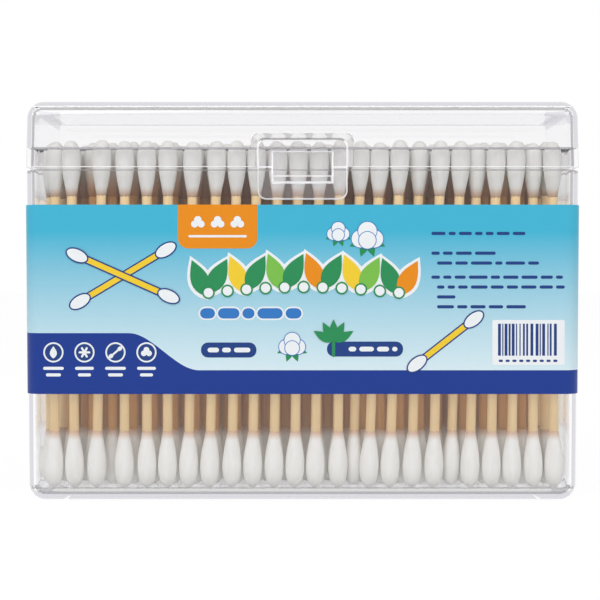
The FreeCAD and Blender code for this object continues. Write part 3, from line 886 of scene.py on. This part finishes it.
def printSigns():
    z = signs["height"]
    for k, x in enumerate(signs["places"]):
        for layer, (ink, radius) in enumerate(zip(("White", "Navy"), signs["radii"])):
            inkShape(ink, layer, disc(x, z, radius, signs["sides"]))
        for low, length in signs["captions"]:
            inkShape("White", 0, bar(x, low, length - signs["shorter"] * (k % 2), signs["captionHeight"]))
    leafAt, spokesAt, swabAt, dotsAt = signs["places"]
    inkShape("White", 2, leafShape(leafAt, z, *signs["leaf"]))
    for k, angle in enumerate(signs["spokes"]):
        inkShape("White", 2 + 0.8 * k, bar(spokesAt, z, *signs["spoke"], angle))
    inkShape("White", 2, bar(swabAt, z, *signs["swabStick"], signs["swabAngle"]))
    for side in (1, -1):
        aside, up = (side * part for part in signs["swabEnd"])
        inkShape("White", 3, oval(swabAt + aside, z + up, *signs["swabTip"], signs["swabAngle"]))
    for k, (a, b) in enumerate(signs["dots"]):
        inkShape("White", 2 + 0.8 * k, disc(dotsAt + a, z + b, signs["dotRadius"], signs["dotSides"]))


def makeInk(ink, colour):
    material, nodes, links, shader = newMaterial(f"ink{ink}")
    tone = addVariation(nodes, [inkSheet["darker"] * part for part in colour], colour, inkSheet["grain"], 1)
    links.new(tone.outputs["Color"], shader.inputs["Base Color"])
    shader.inputs["Roughness"].default_value = label["roughness"]
    shader.inputs["Specular IOR Level"].default_value = label["specular"]
    return material


def joinInk(ink, material):
    piece = joinAs(f"print{ink}", printed[ink])
    piece.data.materials.clear()
    piece.data.materials.append(material)
    if piece.data.polygons[0].normal.y > 0:
        bpy.ops.object.mode_set(mode="EDIT")
        bpy.ops.mesh.select_all(action="SELECT")
        bpy.ops.mesh.flip_normals()
        bpy.ops.object.mode_set(mode="OBJECT")
    film = piece.modifiers.new("film", "SOLIDIFY")
    film.thickness = inkSheet["thickness"] * mm
    film.offset = -1
    bpy.ops.object.modifier_apply(modifier=film.name)
    settle(piece, "box", "printed_label")


def makePrint():
    chance = random.Random(7)
    printTab()
    printGarland()
    printPlaques(chance)
    printMotifs(chance)
    printStripes(chance)
    printSigns()
    for ink, colour in inks.items():
        joinInk(ink, makeInk(ink, colour))


makePrint()
print("label printed")


# swabs: one stick and one tip modelled, then copied along the rows

swab = {
    "length": 74.4, "stickRadius": 1.05, "low": 3.22, "tipLength": 12.0, "stickInTip": 1, "uneven": 0.004,
    "sides": {"fine": 16, "plain": 8}, "stickSides": 8,
    # height from the tip's end and radius
    "tip": [(0.0, 0.35), (0.18, 0.85), (0.6, 1.3), (1.3, 1.66), (2.6, 1.97), (4.3, 2.1), (6.2, 2.0),
            (8.2, 1.72), (10.2, 1.35), (11.6, 1.1), (12.0, 1.0)],
    "plainTip": [(0.0, 0.6), (0.9, 1.5), (3.0, 2.03), (5.5, 2.05), (9.0, 1.5), (12.0, 1.02)],
}
rows, perRow = 8, 25
crowd = {
    "pitch": (4.49, 4.27), "shift": 1.1, "loose": (0.3, 0.15), "front": -14.95, "reach": (55.2, 15.05),
    "apart": 4.22, "steps": 500, "pull": 0.9, "never": 99, "seed": 4,
    # where the front row stands and where its upper ends lean to, as the photograph shows it
    "frontLow": [-53.5, -49.1, -44.4, -38.4, -33.5, -29.1, -24.6, -20.1, -15.3, -10.8, -6.2, -1.7, 2.7,
                 7.6, 11.0, 14.2, 18.7, 23.5, 28.2, 32.1, 36.0, 40.6, 45.0, 49.7, 54.2],
    "frontHigh": [-53.5, -49.9, -43.2, -38.3, -33.6, -29.0, -23.6, -18.4, -14.1, -9.8, -5.2, -0.8, 3.7,
                  8.1, 12.6, 16.8, 21.1, 25.5, 29.8, 34.2, 38.0, 41.8, 46.1, 50.0, 53.9],
    # how far some of them stand or lean back
    "backLow": {14: 2.6, 19: 2.3}, "backHigh": {0: 1.6, 17: 2.4, 20: 2.2, 23: 1.8},
}


def turnedRings(name, rings, sides, material):
    # a circle drawn up through rings, closed at its end
    deselectAll()
    bpy.ops.mesh.primitive_circle_add(vertices=sides, radius=rings[0][1] * mm, fill_type="NGON")
    piece = bpy.context.view_layer.objects.active
    piece.name = name
    bpy.ops.object.mode_set(mode="EDIT")
    bpy.ops.mesh.select_all(action="SELECT")
    for (low, before), (high, after) in zip(rings, rings[1:]):
        bpy.ops.mesh.extrude_region_move(TRANSFORM_OT_translate={"value": (0, 0, (high - low) * mm)})
        share = after / before
        bpy.ops.transform.resize(value=(share, share, 1))
    bpy.ops.mesh.select_all(action="SELECT")
    bpy.ops.mesh.normals_make_consistent(inside=False)
    bpy.ops.object.mode_set(mode="OBJECT")
    bpy.ops.object.shade_smooth()
    piece.data.materials.append(material)
    return piece


def settledRows(front, back):
    # the front row is given, and the rows behind it are pushed apart inside the box
    chance = random.Random(crowd["seed"])
    (acrossPitch, depthPitch), (acrossLoose, depthLoose) = crowd["pitch"], crowd["loose"]
    spots = []
    for row in range(rows):
        for column in range(perRow):
            x = (column - (perRow - 1) / 2) * acrossPitch + crowd["shift"] * (-1) ** row
            x += chance.uniform(-acrossLoose, acrossLoose)
            y = (row - (rows - 1) / 2) * depthPitch + chance.uniform(-depthLoose, depthLoose)
            if row == 0:
                x, y = front[column], crowd["front"] + back.get(column, 0)
            spots.append((x, y))
    spots = np.array(spots)
    for step in range(crowd["steps"]):
        apart = spots[:, None] - spots[None]
        gap = np.hypot(apart[..., 0], apart[..., 1]) + np.eye(len(spots)) * crowd["never"]
        push = np.clip(crowd["apart"] - gap, 0, None) / 2
        move = (apart / gap[..., None] * push[..., None]).sum(1)
        spots[perRow:] += move[perRow:] * crowd["pull"]
        for axis, reach in enumerate(crowd["reach"]):
            spots[:, axis] = np.clip(spots[:, axis], -reach, reach)
    return spots


def standCopies(name, master, places):
    copies = []
    for x, y, leanX, leanY, stretch in places:
        one = master.copy()
        one.data = master.data.copy()
        one.location = (x * mm, y * mm, swab["low"] * mm)
        one.rotation_euler = (-math.atan2(leanY, swab["length"]), math.atan2(leanX, swab["length"]), 0)
        one.scale = (1, 1, stretch)
        bpy.context.scene.collection.objects.link(one)
        copies.append(one)
    return joinAs(name, copies)


def makeMasters():
    masters = {}
    stickLow = swab["tipLength"] - swab["stickInTip"]
    stick = [(stickLow, swab["stickRadius"]), (swab["length"] - stickLow, swab["stickRadius"])]
    for kind, sides in swab["sides"].items():
        tip = swab["tip"] if kind == "fine" else swab["plainTip"]
        top = [(swab["length"] - height, radius) for height, radius in reversed(tip)]
        masters[kind, "lower"] = turnedRings("lowerTip", tip, sides, cotton)
        masters[kind, "upper"] = turnedRings("upperTip", top, sides, cotton)
        masters[kind, "stick"] = turnedRings("stick", stick, max(swab["stickSides"], sides // 2), bamboo)
    # each is drawn up from the floor, and then raised to its own height
    heights = {"lower": 0, "upper": swab["length"] - swab["tipLength"], "stick": stickLow}
    for (kind, part), master in masters.items():
        for vertex in master.data.vertices:
            vertex.co.z += heights[part] * mm
    return masters


def makeSwabs():
    chance = random.Random(11)
    lowEnds = settledRows(crowd["frontLow"], crowd["backLow"])
    highEnds = settledRows(crowd["frontHigh"], crowd["backHigh"])
    masters = makeMasters()
    standing = []
    for (x, y), (highX, highY) in zip(lowEnds, highEnds):
        standing.append((x, y, highX - x, highY - y, 1 + chance.uniform(-swab["uneven"], swab["uneven"])))
    groups = {"front": range(perRow), "back": range(perRow * (rows - 1), perRow * rows)}
    groups["left"] = [row * perRow for row in range(1, rows - 1)]
    groups["right"] = [row * perRow + perRow - 1 for row in range(1, rows - 1)]
    # part of a swab, end of its node's name, slot, and finish inside the box: painted shade on the upper tips
    # and sticks, a painted glow on the lower tips
    pieces = (("lower", "lower_tips", "cotton", glowingLowerCotton), ("upper", "upper_tips", "cotton", shadedInnerCotton),
              ("stick", "sticks", "bamboo", shadedInnerBamboo))
    for side, members in groups.items():
        kind = "fine" if side == "front" else "plain"
        places = [standing[member] for member in members]
        for part, node, slot, inner in pieces:
            piece = standCopies(f"{side}{part.capitalize()}", masters[kind, part], places)
            settle(piece, "box", slot, f"{side}_{node}")
    for row in range(1, rows - 1):
        places = [standing[row * perRow + column] for column in range(1, perRow - 1)]
        for part, node, slot, inner in pieces:
            piece = standCopies(f"row{row}{part.capitalize()}", masters["plain", part], places)
            piece.data.materials[0] = inner
            settle(piece, "box", slot, f"inner_swabs_row_{row}")
    for master in masters.values():
        bpy.data.objects.remove(master)


makeSwabs()
print("swabs standing")


# light, floor and camera

studio = {
    # strength of the world in front and behind, and of the room that is mirrored
    "world": (0.72, 0.22), "room": (0.35, 1.0), "roomUntil": -0.3,
    "floorSize": 6, "floorColour": (0.95, 0.95, 0.95), "floorRoughness": 0.9, "floor": 0.9, "glow": 1.04,
    # name, place, turn and power
    "lamps": (("keyLamp", (-0.4, -0.6, 0.62), -34, 2.9), ("fillLamp", (0.5, -0.55, 0.45), 42, 1.4)),
    "lampSize": 0.6, "lampTilt": 52,
}


def makeStudio():
    world = bpy.data.worlds.new("studio")
    bpy.context.scene.world = world
    world.use_nodes = True
    nodes, links = world.node_tree.nodes, world.node_tree.links
    path = nodes.new("ShaderNodeLightPath")
    place = nodes.new("ShaderNodeTexCoord")
    split = nodes.new("ShaderNodeSeparateXYZ")
    links.new(place.outputs["Generated"], split.inputs[0])

    def byDirection(front, back, until):
        level = nodes.new("ShaderNodeMapRange")
        for socket, value in (("From Min", -1), ("From Max", until), ("To Min", front), ("To Max", back)):
            level.inputs[socket].default_value = value
        links.new(split.outputs["Y"], level.inputs["Value"])
        return level.outputs["Result"]

    def choose(factor, usual, special):
        mix = nodes.new("ShaderNodeMix")
        links.new(factor, mix.inputs["Factor"])
        for socket, source in (("A", usual), ("B", special)):
            if isinstance(source, float):
                mix.inputs[socket].default_value = source
            else:
                links.new(source, mix.inputs[socket])
        return mix.outputs["Result"]

    def combine(operation, first, second):
        node = nodes.new("ShaderNodeMath")
        node.operation = operation
        node.use_clamp = True
        links.new(first, node.inputs[0])
        links.new(second, node.inputs[1])
        return node.outputs[0]

    # soft light from the front, white where it is seen, and a darker room mirrored in front
    rays = path.outputs
    seen = combine("MAXIMUM", rays["Is Camera Ray"], rays["Is Transmission Ray"])
    mirrored = combine("SUBTRACT", rays["Is Glossy Ray"], rays["Is Transmission Ray"])
    lit = choose(seen, byDirection(*studio["world"], 1), 1.0)
    level = choose(mirrored, lit, byDirection(*studio["room"], studio["roomUntil"]))
    links.new(level, nodes["Background"].inputs["Strength"])
    nodes["Background"].inputs["Color"].default_value = (1, 1, 1, 1)

    deselectAll()
    bpy.ops.mesh.primitive_plane_add(size=studio["floorSize"], location=(0, 0, 0))
    floor = bpy.context.view_layer.objects.active
    floor.name = "floor"
    material, nodes, links, shader = newMaterial("paleFloor")
    shader.inputs["Base Color"].default_value = (*studio["floorColour"], 1)
    shader.inputs["Roughness"].default_value = studio["floorRoughness"]
    glow = nodes.new("ShaderNodeEmission")
    glow.inputs["Strength"].default_value = studio["glow"]
    mix = nodes.new("ShaderNodeMixShader")
    rays = nodes.new("ShaderNodeLightPath").outputs
    seen = addMath(nodes, links, "MAXIMUM", rays["Is Camera Ray"], rays["Is Glossy Ray"])
    straight = addMath(nodes, links, "MAXIMUM", seen, rays["Is Transmission Ray"])
    links.new(addMath(nodes, links, "MULTIPLY", straight, studio["floor"]), mix.inputs[0])
    links.new(shader.outputs[0], mix.inputs[1])
    links.new(glow.outputs[0], mix.inputs[2])
    links.new(mix.outputs[0], nodes["Material Output"].inputs["Surface"])
    floor.data.materials.append(material)

    for name, place, turn, energy in studio["lamps"]:
        bpy.ops.object.light_add(type="AREA", location=place)
        lamp = bpy.context.view_layer.objects.active
        lamp.name = name
        lamp.data.size = studio["lampSize"]
        lamp.data.energy = energy
        lamp.rotation_euler = (math.radians(studio["lampTilt"]), 0, math.radians(turn))


# in metres, with aside and picture in the photograph's pixels
camera = {
    "distance": 0.285, "face": 0.0193, "height": 0.04925, "frameWidth": 0.12766, "middle": 0.04344,
    "sensor": 36, "aside": -2.5, "picture": 600, "clipStart": 0.01,
}


def makeCamera():
    bpy.ops.object.camera_add(location=(0, -camera["face"] - camera["distance"], camera["height"]),
                              rotation=(math.radians(90), 0, 0))
    viewer = bpy.context.view_layer.objects.active
    viewer.name = "camera"
    viewer.data.sensor_width = camera["sensor"]
    viewer.data.lens = camera["sensor"] * camera["distance"] / camera["frameWidth"]
    viewer.data.shift_x = camera["aside"] / camera["picture"]
    viewer.data.shift_y = (camera["middle"] - camera["height"]) / camera["frameWidth"]
    viewer.data.clip_start = camera["clipStart"]
    bpy.context.scene.camera = viewer


makeStudio()
makeCamera()
bpy.context.scene.view_settings.view_transform = "Standard"
print("studio and camera set")
